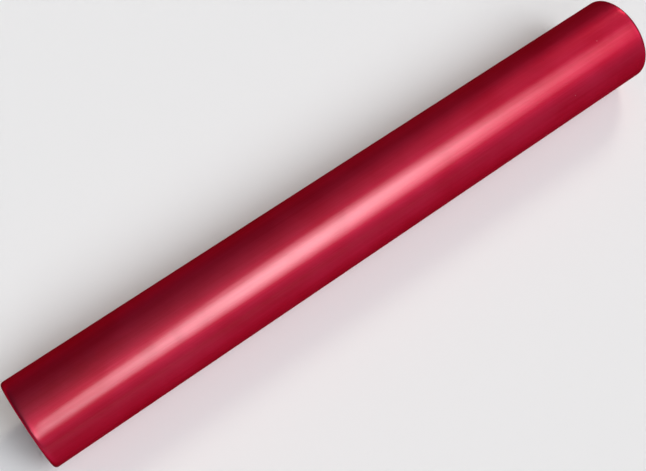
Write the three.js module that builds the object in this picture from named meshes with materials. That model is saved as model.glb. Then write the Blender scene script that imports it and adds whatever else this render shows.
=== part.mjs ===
// A relay baton: one smooth hollow tube of drawn aluminium, dyed red, passed from hand to hand.
// It lies along X on a flat surface, with +Z up, and the origin is under its middle. Millimetres.
import * as THREE from "three";

// The sport's rules ask for one piece, 280 to 300 long and 38 to 42 across, so these are its limits.
const LENGTH = 300;
const OUTER_DIAMETER = 38;
const WALL = 1;

// Both ends are rolled inwards over a former, and the cut edge is broken to a full round inside the
// mouth, so that neither the outgoing nor the incoming hand ever meets a sharp rim.
const FORMER_RADIUS = 0.5;
const LAND_WIDTH = 0.7;

// Facets: sides round the tube, and half the steps of each rounded stretch of its section.
const SIDES = 96;
const HALF_ARC_STEPS = 3;

// Sizes that follow from those above.
const OUTER_RADIUS = OUTER_DIAMETER / 2;
const HALF_LENGTH = LENGTH / 2;
const BEND_RADIUS = FORMER_RADIUS + WALL;
const EDGE_RADIUS = WALL / 2;

const QUARTER_TURN = Math.PI / 2;
const HALF_SIDE_ANGLE = Math.PI / SIDES;

// The section of one rolled lip, from the outer skin round to the bore: x is the distance from the
// tube's axis and y the distance along it. The wall keeps its thickness through the bend, runs in as
// a flat land square to the axis, and ends in a half-round edge.
function lipSection() {
  const bendAt = new THREE.Vector2(OUTER_RADIUS - BEND_RADIUS, HALF_LENGTH - BEND_RADIUS);
  const edgeAt = new THREE.Vector2(bendAt.x - LAND_WIDTH, HALF_LENGTH - EDGE_RADIUS);
  const section = new THREE.Path();
  section.absarc(bendAt.x, bendAt.y, BEND_RADIUS, 0, QUARTER_TURN, false);
  section.absarc(edgeAt.x, edgeAt.y, EDGE_RADIUS, QUARTER_TURN, -QUARTER_TURN, false);
  section.absarc(bendAt.x, bendAt.y, FORMER_RADIUS, QUARTER_TURN, 0, true);
  return section.getPoints(HALF_ARC_STEPS);
}

// The whole wall's section is the lip at +Y, its mirror image at -Y, and the straight skin and bore
// between them, closed on itself.
function wallSection() {
  const farLip = lipSection();
  const nearLip = farLip.map((point) => new THREE.Vector2(point.x, -point.y)).reverse();
  return [...nearLip, ...farLip, nearLip[0]];
}

// A turned body has flats instead of a true round. Drawing its corners a little outside the round
// puts the middle of every flat on it, so that the tube measures true across the flats.
function cornersOutside(section) {
  const cornerShare = 1 / Math.cos(HALF_SIDE_ANGLE);
  return section.map((point) => new THREE.Vector2(point.x * cornerShare, point.y));
}

// The wall is turned about its axis, starting half a side round, so that one flat faces straight down.
function turnedTube() {
  const section = cornersOutside(wallSection());
  return new THREE.LatheGeometry(section, SIDES, HALF_SIDE_ANGLE, 2 * Math.PI);
}

// Satin dyed anodising over bare aluminium: a coloured metal, neither mirror bright nor matt.
function anodisedRed() {
  return new THREE.MeshStandardMaterial({ color: 0xb11930, metalness: 1, roughness: 0.42 });
}

const batonTube = new THREE.Mesh(turnedTube(), anodisedRed());
batonTube.name = "baton_tube";
batonTube.rotation.z = -QUARTER_TURN;
batonTube.position.z = OUTER_RADIUS;

const baton = new THREE.Group();
baton.add(batonTube);

export default baton;
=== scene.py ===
# %% [markdown]
# # A relay baton
#
# The real baton is one smooth aluminium tube. It is open right through, both of its ends are
# rolled inwards so that no sharp rim meets a hand, and it is dyed red in the thin hard skin that
# anodising grows on the metal.
#
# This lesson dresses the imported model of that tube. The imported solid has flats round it, because
# it is there to be measured and simulated. Here the same wall is drawn again with a fine round
# surface, then given its finish, lit, and seen from the photograph's direction. Everything is in
# metres, with +Z up, and the tube lies along X.

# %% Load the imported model
import math

import bmesh
import bpy
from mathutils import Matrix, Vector


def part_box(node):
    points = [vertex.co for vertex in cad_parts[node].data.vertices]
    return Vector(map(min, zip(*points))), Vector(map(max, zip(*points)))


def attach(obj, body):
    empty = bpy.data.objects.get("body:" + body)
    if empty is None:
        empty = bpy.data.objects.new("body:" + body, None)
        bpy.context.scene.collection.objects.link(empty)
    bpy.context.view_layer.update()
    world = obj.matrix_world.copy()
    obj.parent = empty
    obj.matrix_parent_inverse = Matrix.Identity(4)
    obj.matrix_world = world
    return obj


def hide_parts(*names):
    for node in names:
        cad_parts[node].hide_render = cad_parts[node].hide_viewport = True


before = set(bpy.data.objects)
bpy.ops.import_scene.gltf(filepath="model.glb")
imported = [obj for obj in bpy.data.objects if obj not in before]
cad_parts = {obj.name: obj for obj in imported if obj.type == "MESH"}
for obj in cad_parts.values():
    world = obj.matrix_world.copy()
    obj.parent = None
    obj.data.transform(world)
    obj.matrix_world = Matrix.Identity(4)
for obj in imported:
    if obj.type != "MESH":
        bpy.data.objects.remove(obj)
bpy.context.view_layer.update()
print("packed nodes:", sorted(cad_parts))

# %% [markdown]
# ## The sizes of the tube
#
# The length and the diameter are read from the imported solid, so the two models can't drift apart.
# What that box doesn't show is repeated here: the wall's thickness, the radius of the former that
# the ends are rolled over, and the narrow flat land that the baton stands on.

# %% Measure the tube
low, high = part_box("baton_tube")
HALF_LENGTH = (high.x - low.x) / 2
OUTER_RADIUS = (high.z - low.z) / 2
AXIS_HEIGHT = low.z + OUTER_RADIUS

WALL = 0.001
FORMER_RADIUS = 0.0005
LAND_WIDTH = 0.0007
BEND_RADIUS = FORMER_RADIUS + WALL
EDGE_RADIUS = WALL / 2
STRAIGHT_HALF = HALF_LENGTH - BEND_RADIUS
print(f"tube {2 * HALF_LENGTH:.4f} m long, {2 * OUTER_RADIUS:.4f} m across")

# %% [markdown]
# ## The camera
#
# The photograph looks steeply down at the baton from its left and its near side. The camera is
# placed by the direction that it looks back along, its distance, and how far its aim lies beside
# the middle of the tube, because the baton isn't quite centred in the picture. It is level, so
# the slant of the baton in the picture comes from where the camera stands.

# %% Place the camera
PICTURE_WIDTH = 646
FOCAL_PIXELS = 1067.9
SENSOR_WIDTH_MM = 36
CAMERA_AZIMUTH = math.radians(-36.5)
CAMERA_ELEVATION = math.radians(63.4)
CAMERA_DISTANCE = 0.4383
AIM_LEFT = 0.0103
AIM_BELOW = 0.0086

tube_middle = Vector((0, 0, AXIS_HEIGHT))


def direction(azimuth, elevation):
    """The unit vector that points at a place in the sky, with azimuth 0 towards -Y."""
    level = math.cos(elevation)
    return Vector((math.sin(azimuth) * level, -math.cos(azimuth) * level, math.sin(elevation)))


def facing(back):
    """A turn that makes an object look along its own -Z, against the direction back, and level."""
    return (-back).to_track_quat("-Z", "Y")


back = direction(CAMERA_AZIMUTH, CAMERA_ELEVATION)
turn = facing(back)
aim = tube_middle + turn @ Vector((-AIM_LEFT, -AIM_BELOW, 0))

camera_data = bpy.data.cameras.new("camera")
camera_data.sensor_width = SENSOR_WIDTH_MM
camera_data.lens = FOCAL_PIXELS / PICTURE_WIDTH * SENSOR_WIDTH_MM
camera = bpy.data.objects.new("camera", camera_data)
camera.location = aim + back * CAMERA_DISTANCE
camera.rotation_mode = "QUATERNION"
camera.rotation_quaternion = turn
bpy.context.scene.collection.objects.link(camera)
bpy.context.scene.camera = camera
print(f"camera lens {camera_data.lens:.1f} mm at", [round(c, 3) for c in camera.location])

# %% [markdown]
# ## The section of the wall
#
# A tube could be a cylinder with a Solidify modifier and a Bevel on its rims. The rolled lip
# would be missing then: on the real baton the wall itself turns inwards through a small bend,
# keeps its thickness, runs in as a flat land and ends in a half-round edge. So the section of the
# wall is drawn first, from arcs whose radii are real sizes, and turned about the axis afterwards.
# Each point is a distance from the axis and a place along it.

# %% Draw the section
BEND_STEPS = 16
EDGE_STEPS = 12
STRAIGHT_STEPS = 80


def arc(centre, radius, start, stop, steps):
    """The points of a round stretch of the section, from one angle in degrees to another."""
    angles = [math.radians(start + (stop - start) * i / steps) for i in range(steps + 1)]
    return [(centre[0] + radius * math.cos(a), centre[1] + radius * math.sin(a)) for a in angles]


def straight(radius, start, stop):
    """Evenly spaced points between two bends, without the end points, which the bends have."""
    return [(radius, start + (stop - start) * i / STRAIGHT_STEPS) for i in range(1, STRAIGHT_STEPS)]


bend_at = (OUTER_RADIUS - BEND_RADIUS, STRAIGHT_HALF)
edge_at = (bend_at[0] - LAND_WIDTH, HALF_LENGTH - EDGE_RADIUS)
outer_lip = arc(bend_at, BEND_RADIUS, 0, 90, BEND_STEPS)
outer_lip += arc(edge_at, EDGE_RADIUS, 90, 180, EDGE_STEPS)
inner_lip = arc(edge_at, EDGE_RADIUS, 180, 270, EDGE_STEPS)[1:]
inner_lip += arc(bend_at, FORMER_RADIUS, 90, 0, BEND_STEPS)


def mirrored(points):
    """The same stretch at the tube's other end, in the order that goes on round the section."""
    return [(radius, -along) for radius, along in reversed(points)]


skin = mirrored(outer_lip) + straight(OUTER_RADIUS, -STRAIGHT_HALF, STRAIGHT_HALF) + outer_lip
bore = inner_lip + straight(OUTER_RADIUS - WALL, STRAIGHT_HALF, -STRAIGHT_HALF)
bore += mirrored(inner_lip)
mouth = 2 * (edge_at[0] - EDGE_RADIUS)
print(f"section of {len(skin) + len(bore)} points, mouth {mouth:.4f} m across")

# %% [markdown]
# ## Turning the section into a tube
#
# Each point of the section becomes a ring of vertices round the axis, and neighbouring rings are
# joined by quads. The last ring joins the first, which closes the wall through the bore. The long
# straight stretches have rings too: smooth shading blends the normals of neighbouring faces, and
# short faces keep the blend at a bend from reaching along the tube.
#
# The surface is unrolled into a square picture for painting or baking: the skin in the lower half
# and the bore in the upper half, each cut along the underside, with true proportions but for a
# slight stretch round the tube.

# %% Turn the tube
SIDES = 288
SKIN_SLOT = 0
BORE_SLOT = 1
HALF_PICTURE = 0.5


def ring(mesh, radius, along):
    """One ring of vertices, starting at the underside."""
    made = []
    for i in range(SIDES):
        angle = 2 * math.pi * i / SIDES - math.pi / 2
        across = radius * math.cos(angle)
        up = AXIS_HEIGHT + radius * math.sin(angle)
        made.append(mesh.verts.new((along, across, up)))
    return made


def running_length(points):
    """How far along the section each point lies, from 0 at the first to 1 at the last."""
    lengths = [0.0]
    for a, b in zip(points, points[1:]):
        lengths.append(lengths[-1] + math.dist(a, b))
    return [length / lengths[-1] for length in lengths]


def join(mesh, rings, lengths, first_row, slot):
    """Quads between neighbouring rings, laid out in one half of the unrolled picture."""
    unrolled = mesh.loops.layers.uv.verify()
    for (near, far), (here, there) in zip(zip(rings, rings[1:]), zip(lengths, lengths[1:])):
        for i in range(SIDES):
            j = (i + 1) % SIDES
            face = mesh.faces.new((near[i], near[j], far[j], far[i]))
            face.material_index = slot
            face.smooth = True
            rows = [first_row + HALF_PICTURE * side / SIDES for side in (i, i + 1)]
            places = ((here, rows[0]), (here, rows[1]), (there, rows[1]), (there, rows[0]))
            for loop, place in zip(face.loops, places):
                loop[unrolled].uv = place


mesh = bmesh.new()
skin_rings = [ring(mesh, *point) for point in skin]
bore_rings = [ring(mesh, *point) for point in bore]
join(mesh, skin_rings, running_length(skin), 0, SKIN_SLOT)
bore_loop = [skin_rings[-1], *bore_rings, skin_rings[0]]
bore_lengths = running_length([skin[-1], *bore, skin[0]])
join(mesh, bore_loop, bore_lengths, HALF_PICTURE, BORE_SLOT)
bmesh.ops.recalc_face_normals(mesh, faces=mesh.faces)

tube_mesh = bpy.data.meshes.new("baton_tube_turned")
mesh.to_mesh(tube_mesh)
mesh.free()
tube_mesh.uv_layers[0].name = "OFBake"
tube = bpy.data.objects.new("baton_tube_turned", tube_mesh)
bpy.context.scene.collection.objects.link(tube)
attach(tube, "root")
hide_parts("baton_tube")
print(f"turned tube with {len(tube_mesh.polygons)} faces")

# %% [markdown]
# ## Shared effects
#
# The skin and the bore went through the same etch and the same dye, and differ only in how much
# of each mark they carry. So each mark is a node group with named inputs, built once and placed
# in both materials with its own values. A few helpers keep that short: one starts a group with
# its sockets, one adds a node, and the others add a sum, a noise, a smooth step or a mix of two
# colours.

# %% Helpers for node groups
SOCKETS = {"value": "NodeSocketFloat", "colour": "NodeSocketColor", "vector": "NodeSocketVector"}
MIX_SHARE = 0
MIX_FIRST_COLOUR = 6
MIX_SECOND_COLOUR = 7
MIXED_COLOUR = 2


def new_group(name, inputs, outputs):
    """An empty shader group. Inputs are (name, kind, default) and outputs are (name, kind)."""
    group = bpy.data.node_groups.new(name, "ShaderNodeTree")
    for label, kind, default in inputs:
        socket = group.interface.new_socket(label, in_out="INPUT", socket_type=SOCKETS[kind])
        socket.default_value = default
    for label, kind in outputs:
        group.interface.new_socket(label, in_out="OUTPUT", socket_type=SOCKETS[kind])
    start = group.nodes.new("NodeGroupInput")
    end = group.nodes.new("NodeGroupOutput")
    return group, start.outputs, end.inputs


def add(tree, kind, inputs=None, **settings):
    """A node with its settings, and with its inputs linked from sockets or set to values."""
    node = tree.nodes.new("ShaderNode" + kind)
    for key, value in settings.items():
        setattr(node, key, value)
    for key, value in (inputs or {}).items():
        if isinstance(value, bpy.types.NodeSocket):
            tree.links.new(value, node.inputs[key])
        else:
            node.inputs[key].default_value = value
    return node


def maths(tree, operation, *values):
    """The output of one Math node."""
    return add(tree, "Math", dict(enumerate(values)), operation=operation).outputs[0]


def noise(tree, vector, size, detail):
    """A noise from 0 to 1 whose patches are size metres across."""
    scale = maths(tree, "DIVIDE", 1, size)
    return add(tree, "TexNoise", {"Vector": vector, "Scale": scale, "Detail": detail}).outputs[0]


def step(tree, value, zero_at, one_at):
    """A smooth step from 0, where value is zero_at, to 1, where it is one_at."""
    limits = {"Value": value, "From Min": zero_at, "From Max": one_at}
    return add(tree, "MapRange", limits, interpolation_type="SMOOTHSTEP").outputs[0]


def mix(tree, share, first, second):
    """The colour first where share is 0, second where it is 1, and a mix between."""
    inputs = {MIX_SHARE: share, MIX_FIRST_COLOUR: first, MIX_SECOND_COLOUR: second}
    return add(tree, "Mix", inputs, data_type="RGBA").outputs[MIXED_COLOUR]


print("kinds of group socket:", ", ".join(SOCKETS))

# %% [markdown]
# ## Where on the tube a point lies
#
# The finish of a tube has two directions: marks of drawing run along it, and marks of rolling run
# round it. This group measures a point against the tube's own axis. Its streaks vector hardly
# changes along the tube, and its rings vector hardly changes round it, so a noise that reads one
# of them is drawn out into lines that way. An image mapped on the unrolled tube could do the
# same, but it would have a seam along the underside.

# %% Build the tube coordinates
ALONG_STREAK_SHARE = 0.012
ROUND_RING_SHARE = 0.02


def tube_coordinates():
    """A group that gives streak and ring vectors, and the distance in from the nearer end."""
    outputs = [("Streaks", "vector"), ("Rings", "vector"), ("From end", "value")]
    group, _, end = new_group("tube_coordinates", [], outputs)
    place = add(group, "TexCoord").outputs["Object"]
    split = add(group, "SeparateXYZ", {0: place}).outputs
    height = maths(group, "SUBTRACT", split["Z"], AXIS_HEIGHT)

    flat_along = maths(group, "MULTIPLY", split["X"], ALONG_STREAK_SHARE)
    streaks = add(group, "CombineXYZ", {"X": flat_along, "Y": split["Y"], "Z": height})

    across_squared = maths(group, "MULTIPLY", split["Y"], split["Y"])
    radius = maths(group, "SQRT", maths(group, "MULTIPLY_ADD", height, height, across_squared))
    flat_across = maths(group, "MULTIPLY", split["Y"], ROUND_RING_SHARE)
    rings = add(group, "CombineXYZ", {"X": split["X"], "Y": radius, "Z": flat_across})

    distance = maths(group, "ABSOLUTE", split["X"])
    from_end = maths(group, "SUBTRACT", HALF_LENGTH, distance)
    group.links.new(streaks.outputs[0], end["Streaks"])
    group.links.new(rings.outputs[0], end["Rings"])
    group.links.new(from_end, end["From end"])
    return group


coordinates_group = tube_coordinates()
print("group:", coordinates_group.name)

# %% [markdown]
# ## The etched grain
#
# Before it is dyed, the tube is etched until its shine has gone, and that leaves a fine even
# grain. An image of etched metal would have one fixed sharpness. A noise measured in metres keeps
# the right size from any distance.

# %% Build the etched grain
def etched_grain():
    """A group that gives a fine even grain between 0 and 1."""
    inputs = [("Size", "value", 0.00025)]
    group, start, end = new_group("etched_grain", inputs, [("Grain", "value")])
    place = add(group, "TexCoord").outputs["Object"]
    group.links.new(noise(group, place, start["Size"], detail=2), end["Grain"])
    return group


grain_group = etched_grain()
print("group:", grain_group.name)

# %% [markdown]
# ## The drawn lines
#
# A tube like this one is pulled through a die, and the die leaves faint straight lines along it
# that the etch softens but doesn't remove. A Wave texture would repeat them evenly. Here a fine
# and a broad noise read the streaks vector, so no two lines are alike.

# %% Build the drawn lines
BROAD_LINE_SHARE = 0.5


def drawn_lines():
    """A group that gives lines along the tube, between 0 and 1."""
    inputs = [("Streaks", "vector", (0, 0, 0))]
    inputs += [("Fine", "value", 0.0004), ("Broad", "value", 0.0025)]
    group, start, end = new_group("drawn_lines", inputs, [("Lines", "value")])
    fine = noise(group, start["Streaks"], start["Fine"], detail=2)
    broad = noise(group, start["Streaks"], start["Broad"], detail=1)
    fine_part = maths(group, "MULTIPLY", fine, 1 - BROAD_LINE_SHARE)
    group.links.new(maths(group, "MULTIPLY_ADD", broad, BROAD_LINE_SHARE, fine_part), end["Lines"])
    return group


lines_group = drawn_lines()
print("group:", lines_group.name)

# %% [markdown]
# ## The rolled lip's marks
#
# The roller that turns each end inwards slides on the metal. It burnishes the bend and leaves
# fine rings round it. The group gives a mask that is 1 on the lip and fades out where the roller
# stopped pressing, and the rings themselves.

# %% Build the lip's marks
def lip_marks():
    """A group that gives the rolled lip's mask, and rings round the tube, between 0 and 1."""
    inputs = [("Rings", "vector", (0, 0, 0)), ("From end", "value", 1.0)]
    inputs += [("Size", "value", 0.0003), ("Reach", "value", 0.0035)]
    group, start, end = new_group("lip_marks", inputs, [("Lip", "value"), ("Rings", "value")])
    group.links.new(step(group, start["From end"], start["Reach"], BEND_RADIUS / 2), end["Lip"])
    group.links.new(noise(group, start["Rings"], start["Size"], detail=2), end["Rings"])
    return group


lip_group = lip_marks()
print("group:", lip_group.name)

# %% [markdown]
# ## The dye
#
# Anodising grows a clear porous skin on the metal, and the dye soaks into its pores. Where it
# soaks in deeper the light passes more of it, so the colour darkens by a power, as coloured glass
# does. One mask between 0 and 1, cloudy and faintly lined, mixes a thin and a deep colour that
# are both worked out from the one dye.

# %% Build the dye
LINES_SHARE = 0.5
LIP_THINNING = 0.15
THIN_BELOW = 0.3
DEEP_ABOVE = 0.7


def at_depth(dye, depth_share):
    """The colour of the dye where it is this share of its usual depth."""
    return tuple(channel ** depth_share for channel in dye) + (1,)


def soaked_dye():
    """A group that gives the colour of the dye, deeper in some places than in others."""
    inputs = [("Thin", "colour", (1, 1, 1, 1)), ("Deep", "colour", (0, 0, 0, 1))]
    inputs += [("Lines", "value", 0.5), ("Lip", "value", 0.0), ("Cloud", "value", 0.022)]
    group, start, end = new_group("soaked_dye", inputs, [("Colour", "colour")])
    place = add(group, "TexCoord").outputs["Object"]
    cloud = noise(group, place, start["Cloud"], detail=3)
    cloudy = maths(group, "MULTIPLY", cloud, 1 - LINES_SHARE)
    soaked = maths(group, "MULTIPLY_ADD", start["Lines"], LINES_SHARE, cloudy)
    spread = maths(group, "MULTIPLY_ADD", start["Lip"], -LIP_THINNING, soaked)
    depth = step(group, spread, THIN_BELOW, DEEP_ABOVE)
    group.links.new(mix(group, depth, start["Thin"], start["Deep"]), end["Colour"])
    return group


dye_group = soaked_dye()
print("group:", dye_group.name)

# %% [markdown]
# ## Pits and dust
#
# The photograph shows a few specks on the tube, each about half a millimetre across: dark ones,
# where the metal had a pit, and pale ones, where dust lies on it. They could be placed one by one
# by hand, on all sides. A Voronoi texture scatters them instead: it has one point in every cell
# of space, and only the few that happen to lie in the surface, and are picked by their random
# colour, show as a speck.

# %% Build the specks
def specks():
    """A group that gives the masks of dark pits and of pale dust."""
    inputs = [("Cell", "value", 0.004), ("Radius", "value", 0.0003), ("Share", "value", 0.1)]
    group, start, end = new_group("specks", inputs, [("Pits", "value"), ("Dust", "value")])
    place = add(group, "TexCoord").outputs["Object"]
    scale = maths(group, "DIVIDE", 1, start["Cell"])
    cells = add(group, "TexVoronoi", {"Vector": place, "Scale": scale}, feature="F1").outputs
    distance = maths(group, "MULTIPLY", cells["Distance"], start["Cell"])
    spot = step(group, distance, start["Radius"], 0)
    picked = add(group, "SeparateColor", {0: cells["Color"]}).outputs
    for label, channel in (("Pits", "Red"), ("Dust", "Green")):
        chosen = maths(group, "LESS_THAN", picked[channel], start["Share"])
        group.links.new(maths(group, "MULTIPLY", spot, chosen), end[label])
    return group


specks_group = specks()
print("group:", specks_group.name)

# %% [markdown]
# ## Handling
#
# A baton is held in bare hands. They leave soft smears that dull the gleam a little. The smears
# are a noise whose own place is pushed about by its Distortion, and only its upper part counts,
# so that most of the tube stays clean.

# %% Build the smears
SMEAR_DETAIL = 4
SMEAR_TWIST = 1.2
CLEAN_BELOW = 0.5
SMEARED_ABOVE = 0.75


def smears():
    """A group that gives the mask of soft smears."""
    group, start, end = new_group("smears", [("Size", "value", 0.02)], [("Smear", "value")])
    place = add(group, "TexCoord").outputs["Object"]
    scale = maths(group, "DIVIDE", 1, start["Size"])
    inputs = {"Vector": place, "Scale": scale, "Detail": SMEAR_DETAIL, "Distortion": SMEAR_TWIST}
    smeared = add(group, "TexNoise", inputs).outputs[0]
    group.links.new(step(group, smeared, CLEAN_BELOW, SMEARED_ABOVE), end["Smear"])
    return group


smears_group = smears()
print("group:", smears_group.name)

# %% [markdown]
# ## The dyed and anodised surface
#
# Dyed anodising is two surfaces at once. The metal under the oxide was etched, so its reflection
# is broad and takes the colour of the dye. The top of the oxide is smoother, and gives a narrower
# gleam of its own that keeps the lamp's colour. A metallic Principled shader with a rough base,
# and a coat that is less rough, does both. A coat of even weight would also gleam along the
# flanks, which are seen at a slant, and the photograph shows almost no gleam there. So the coat's
# weight follows Layer Weight, and fades from where the surface is seen face on.
#
# The marks feed the dye, the roughness, the coat and one Bump node. Its height is in metres, so
# the marks are as deep as real ones: the pits a few hundredths of a millimetre, and the lines,
# the rings and the grain a few thousandths.

# %% Dress the skin and the bore
DYE = (0.455, 0.0128, 0.0425)
DEPTH_SPREAD_SHARE = 0.1
PIT_COLOUR = (0.05, 0.012, 0.014, 1)
DUST_COLOUR = (0.55, 0.25, 0.27, 1)
EDGE_TINT = (0.03, 0.02, 0.02, 1)
GLEAM_INDEX = 1.72
GLEAM_ROUGHNESS = 0.15
GLEAM_FADE = 9.7
EVEN_BLEND = 0.5
LINE_ROUGHNESS = 0.06
LIP_POLISH = 0.15
SMEAR_ROUGHNESS = 0.06
SMEAR_GLEAM_SHARE = 0.15
RING_DEPTH = 0.000003
PIT_DEPTH = 0.00004


def anodised(name, roughness, gleam, line_depth, grain_depth, speck_share):
    """A dyed and anodised surface. The depths of its drawn lines and its grain are in metres."""
    material = bpy.data.materials.new(name)
    material.use_nodes = True
    tree = material.node_tree
    shader = tree.nodes["Principled BSDF"].inputs

    def place(group, **links):
        """Places one of the shared groups."""
        inputs = {label.replace("_", " "): value for label, value in links.items()}
        return add(tree, "Group", inputs, node_tree=group).outputs

    where = place(coordinates_group)
    grain = place(grain_group)["Grain"]
    lines = place(lines_group, Streaks=where["Streaks"])["Lines"]
    lip, rings = place(lip_group, Rings=where["Rings"], From_end=where["From end"])
    pits, dust = place(specks_group, Share=speck_share)
    smear = place(smears_group)["Smear"]

    thin = at_depth(DYE, 1 - DEPTH_SPREAD_SHARE)
    deep = at_depth(DYE, 1 + DEPTH_SPREAD_SHARE)
    dyed = place(dye_group, Thin=thin, Deep=deep, Lines=lines, Lip=lip)["Colour"]
    pitted = mix(tree, pits, dyed, PIT_COLOUR)
    tree.links.new(mix(tree, dust, pitted, DUST_COLOUR), shader["Base Color"])

    lined = maths(tree, "MULTIPLY_ADD", lines, LINE_ROUGHNESS, roughness - LINE_ROUGHNESS / 2)
    polished = maths(tree, "MULTIPLY_ADD", lip, -LIP_POLISH, lined)
    handled = maths(tree, "MULTIPLY_ADD", smear, SMEAR_ROUGHNESS, polished)
    tree.links.new(handled, shader["Roughness"])

    grazing = add(tree, "LayerWeight", {"Blend": EVEN_BLEND}).outputs["Facing"]
    face_on = maths(tree, "POWER", maths(tree, "SUBTRACT", 1, grazing), GLEAM_FADE)
    clean = maths(tree, "MULTIPLY_ADD", smear, -SMEAR_GLEAM_SHARE * gleam, gleam)
    tree.links.new(maths(tree, "MULTIPLY", face_on, clean), shader["Coat Weight"])

    height = maths(tree, "MULTIPLY", grain, grain_depth)
    height = maths(tree, "MULTIPLY_ADD", lines, line_depth, height)
    height = maths(tree, "MULTIPLY_ADD", maths(tree, "MULTIPLY", lip, rings), RING_DEPTH, height)
    height = maths(tree, "MULTIPLY_ADD", pits, -PIT_DEPTH, height)
    bump = add(tree, "Bump", {"Strength": 1, "Distance": 1, "Height": height})
    tree.links.new(bump.outputs["Normal"], shader["Normal"])

    shader["Metallic"].default_value = 1
    shader["Specular Tint"].default_value = EDGE_TINT
    shader["Coat IOR"].default_value = GLEAM_INDEX
    shader["Coat Roughness"].default_value = GLEAM_ROUGHNESS
    return material


skin_finish = anodised(
    "anodised_skin",
    roughness=0.548,
    gleam=1.0,
    line_depth=0.000003,
    grain_depth=0.000005,
    speck_share=0.015,
)
bore_finish = anodised(
    "anodised_bore",
    roughness=0.66,
    gleam=0.6,
    line_depth=0.000012,
    grain_depth=0.000008,
    speck_share=0.04,
)
tube_mesh.materials.append(skin_finish)
tube_mesh.materials.append(bore_finish)
print("finishes:", skin_finish.name, bore_finish.name)

# %% [markdown]
# ## The floor
#
# A pale matt sheet lies at the height of the tube's underside, so large that only the lowest
# views show its edge, as a horizon. It is nearly white by its colour, like paper. It could be
# made whiter by lighting it more, but the same light would wash out the tube. It has no gloss, so
# it takes the tube's soft shadow, and a faint blush where the red metal throws light back on it.

# %% Lay the floor
FLOOR_HALF = 40
FLOOR_COLOUR = (0.93, 0.93, 0.93, 1)

floor_mesh = bpy.data.meshes.new("floor")
corners = [(-FLOOR_HALF, -FLOOR_HALF), (FLOOR_HALF, -FLOOR_HALF)]
corners += [(FLOOR_HALF, FLOOR_HALF), (-FLOOR_HALF, FLOOR_HALF)]
floor_mesh.from_pydata([(x, y, low.z) for x, y in corners], [], [(0, 1, 2, 3)])
floor = bpy.data.objects.new("floor", floor_mesh)
bpy.context.scene.collection.objects.link(floor)
floor_material = bpy.data.materials.new("floor_paint")
floor_material.use_nodes = True
floor_shader = floor_material.node_tree.nodes["Principled BSDF"].inputs
floor_shader["Base Color"].default_value = FLOOR_COLOUR
floor_shader["Roughness"].default_value = 1
floor_shader["Specular IOR Level"].default_value = 0
floor_mesh.materials.append(floor_material)
print(f"floor {2 * FLOOR_HALF} m square")

# %% [markdown]
# ## The light
#
# The long gleam on the tube is the picture of a lamp. An area lamp close by would draw it too,
# but it lights the floor under itself more than the rest, and that shows from other sides. A sun
# lamp with a wide disc is a soft lamp that stands far away, so it lights the whole floor evenly.
#
# A softbox is brightest in its middle, and the gleam shows that: it fades evenly to both sides.
# One even disc would give it a flat top with hard edges, so each lamp of the gleam is three
# discs, one inside the other, and where they overlap they add up.
#
# Two such lamps off the near side, one higher and further right than the other, make one long
# light that lies askew, because the gleam drifts across the tube on its way along it. The left
# lamp keeps the gleam up at the near end, and the end lamp draws the thin bright line on the near
# end's rolled lip. The fill lamp stands behind the far end, just beyond where the tube's gloss
# would show its picture, and lights the floor and the dark flank. The lamps of the gleam are a
# little cool, as daylight is, and the fill is warm, so that the floor comes out neutral.

# %% Hang the lamps
COOL = (1, 1.01, 1.05)
WARM = (1, 0.93, 0.8)
NESTED_DISCS = 3


def soft_lamp(name, azimuth, elevation, disc, strength, colour, discs=NESTED_DISCS):
    """A soft lamp far away, of equally bright nested discs. Its place and width are in degrees."""
    shares = [(i + 1) / discs for i in range(discs)]
    whole = sum(share ** 2 for share in shares)
    for share in shares:
        data = bpy.data.lights.new(name, "SUN")
        data.angle = math.radians(disc * share)
        data.energy = strength * share ** 2 / whole
        data.color = colour
        lamp = bpy.data.objects.new(name, data)
        lamp.rotation_mode = "QUATERNION"
        lamp.rotation_quaternion = facing(direction(math.radians(azimuth), math.radians(elevation)))
        bpy.context.scene.collection.objects.link(lamp)
    print(f"{name}: {disc} degrees wide, strength {strength}, discs {discs}")


soft_lamp("key_lamp_low", azimuth=22.6, elevation=47.2, disc=39, strength=1.3, colour=COOL)
soft_lamp("key_lamp_high", azimuth=47.7, elevation=59, disc=33, strength=0.7, colour=COOL)
soft_lamp("left_lamp", azimuth=-9, elevation=37, disc=20, strength=0.18, colour=COOL)
soft_lamp("end_lamp", azimuth=-35, elevation=36, disc=30, strength=0.36, colour=COOL, discs=1)
soft_lamp("fill_lamp", azimuth=120, elevation=37, disc=15, strength=0.7, colour=WARM, discs=1)

# %% [markdown]
# ## The room
#
# A room is darker at the height of its walls than overhead, and the tube's flanks are the picture
# of its walls. So the world is a plain grey that grows lighter from the horizon up. An even world
# would light the flanks as much as the top, and the tube would look flat. Where the room meets
# the floor it has the floor's own paleness, so that a low view shows no edge there.

# %% Shade the room
WALL_GREY = 0.02
CEILING_GREY = 0.2
FAR_FLOOR_GREY = 0.8
FAR_FLOOR_TOP = 0.08

world = bpy.data.worlds.new("studio")
world.use_nodes = True
room = world.node_tree
up = add(room, "SeparateXYZ", {0: add(room, "TexCoord").outputs["Generated"]}).outputs["Z"]
greys = {"Value": up, "To Min": WALL_GREY, "To Max": CEILING_GREY}
walls = add(room, "MapRange", greys).outputs[0]
far_floor = (FAR_FLOOR_GREY, FAR_FLOOR_GREY, FAR_FLOOR_GREY, 1)
shade = mix(room, step(room, up, FAR_FLOOR_TOP, 0), walls, far_floor)
room.links.new(shade, room.nodes["Background"].inputs["Color"])
bpy.context.scene.world = world
bpy.context.scene.view_settings.view_transform = "Standard"
print(f"room grey {WALL_GREY} at the foot of the walls, {CEILING_GREY} overhead")
